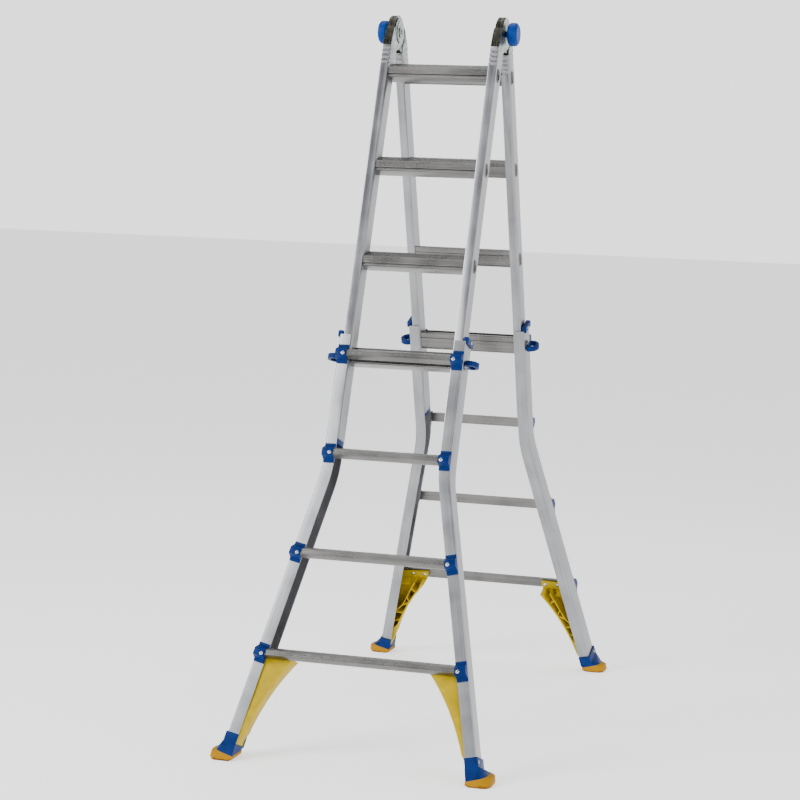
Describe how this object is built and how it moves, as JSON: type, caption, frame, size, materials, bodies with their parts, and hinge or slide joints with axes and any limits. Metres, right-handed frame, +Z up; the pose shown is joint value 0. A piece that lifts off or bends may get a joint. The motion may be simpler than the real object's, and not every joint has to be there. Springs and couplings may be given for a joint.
{
  "type": "multi position ladder",
  "caption": "Free-standing A-frame ladder: hinged telescopic halves with sliding flared outer legs, pull-out lock pins, push-knob hinges and moulded feet.",
  "frame": {"origin": "middle of the footprint, on the floor", "axes": "+Z up, X across the ladder, the front half leans out to -Y and the rear half to +Y"},
  "size_m": [0.782, 1.5494, 2.0169],
  "materials": {
    "stile_aluminium": "mill finish, faint drawn lines",
    "rung_aluminium": "mill finish, ribbed tread",
    "blue_plastic": "fine moulded texture",
    "knob_plastic": "satin",
    "yellow_plastic": "fine moulded texture",
    "hinge_steel": "zinc plated"
  },
  "bodies": {
    "front_inner_ladder": {"front_left_inner_stile": "stile_aluminium", "front_right_inner_stile": "stile_aluminium", "front_inner_rung_1": "rung_aluminium", "front_inner_rung_2": "rung_aluminium", "front_inner_rung_3": "rung_aluminium", "front_inner_rung_4": "rung_aluminium", "front_left_hinge_leaf": "hinge_steel", "front_right_hinge_leaf": "hinge_steel", "front_left_hinge_bush": "hinge_steel", "front_right_hinge_bush": "hinge_steel"},
    "front_outer_ladder": {"front_left_outer_stile": "stile_aluminium", "front_right_outer_stile": "stile_aluminium", "front_outer_rung_1": "rung_aluminium", "front_outer_rung_2": "rung_aluminium", "front_outer_rung_3": "rung_aluminium", "front_outer_rung_4": "rung_aluminium", "front_left_bracket_1": "blue_plastic", "front_left_bracket_2": "blue_plastic", "front_left_bracket_3": "blue_plastic", "front_left_bracket_4": "blue_plastic", "front_right_bracket_1": "blue_plastic", "front_right_bracket_2": "blue_plastic", "front_right_bracket_3": "blue_plastic", "front_right_bracket_4": "blue_plastic", "front_left_gusset": "yellow_plastic", "front_left_foot": "blue_plastic", "front_right_gusset": "yellow_plastic", "front_right_foot": "blue_plastic"},
    "front_left_lock": {"front_left_lock_handle": "blue_plastic"},
    "front_right_lock": {"front_right_lock_handle": "blue_plastic"},
    "rear_inner_ladder": {"rear_left_inner_stile": "stile_aluminium", "rear_right_inner_stile": "stile_aluminium", "rear_inner_rung_1": "rung_aluminium", "rear_inner_rung_2": "rung_aluminium", "rear_inner_rung_3": "rung_aluminium", "rear_inner_rung_4": "rung_aluminium", "rear_left_hinge_leaf": "hinge_steel", "rear_right_hinge_leaf": "hinge_steel"},
    "rear_outer_ladder": {"rear_left_outer_stile": "stile_aluminium", "rear_right_outer_stile": "stile_aluminium", "rear_outer_rung_1": "rung_aluminium", "rear_outer_rung_2": "rung_aluminium", "rear_outer_rung_3": "rung_aluminium", "rear_outer_rung_4": "rung_aluminium", "rear_left_bracket_1": "blue_plastic", "rear_left_bracket_2": "blue_plastic", "rear_left_bracket_3": "blue_plastic", "rear_left_bracket_4": "blue_plastic", "rear_right_bracket_1": "blue_plastic", "rear_right_bracket_2": "blue_plastic", "rear_right_bracket_3": "blue_plastic", "rear_right_bracket_4": "blue_plastic", "rear_left_gusset": "yellow_plastic", "rear_left_foot": "blue_plastic", "rear_right_gusset": "yellow_plastic", "rear_right_foot": "blue_plastic"},
    "rear_left_lock": {"rear_left_lock_handle": "blue_plastic"},
    "rear_right_lock": {"rear_right_lock_handle": "blue_plastic"},
    "left_knob": {"front_left_hinge_knob": "knob_plastic"},
    "right_knob": {"front_right_hinge_knob": "knob_plastic"}
  },
  "joints": [
    {"name": "top_hinge", "type": "hinge", "parent": "front_inner_ladder", "child": "rear_inner_ladder", "pos_m": [0, 0, 1.969], "axis": [1, 0, 0], "range_deg": [-39, 141]},
    {"name": "front_height", "type": "slide", "parent": "front_inner_ladder", "child": "front_outer_ladder", "axis": [0, 0.3338, 0.9426], "range_m": [0, 0.84]},
    {"name": "rear_height", "type": "slide", "parent": "rear_inner_ladder", "child": "rear_outer_ladder", "axis": [0, -0.3338, 0.9426], "range_m": [0, 0.84]},
    {"name": "front_left_lock_pull", "type": "slide", "parent": "front_outer_ladder", "child": "front_left_lock", "axis": [-1, 0, 0], "range_m": [0, 0.013], "stiffness_N_per_m": 600},
    {"name": "front_right_lock_pull", "type": "slide", "parent": "front_outer_ladder", "child": "front_right_lock", "axis": [1, 0, 0], "range_m": [0, 0.013], "stiffness_N_per_m": 600},
    {"name": "rear_left_lock_pull", "type": "slide", "parent": "rear_outer_ladder", "child": "rear_left_lock", "axis": [-1, 0, 0], "range_m": [0, 0.013], "stiffness_N_per_m": 600},
    {"name": "rear_right_lock_pull", "type": "slide", "parent": "rear_outer_ladder", "child": "rear_right_lock", "axis": [1, 0, 0], "range_m": [0, 0.013], "stiffness_N_per_m": 600},
    {"name": "left_knob_push", "type": "slide", "parent": "front_inner_ladder", "child": "left_knob", "axis": [1, 0, 0], "range_m": [0, 0.006], "stiffness_N_per_m": 800},
    {"name": "right_knob_push", "type": "slide", "parent": "front_inner_ladder", "child": "right_knob", "axis": [-1, 0, 0], "range_m": [0, 0.006], "stiffness_N_per_m": 800}
  ]
}
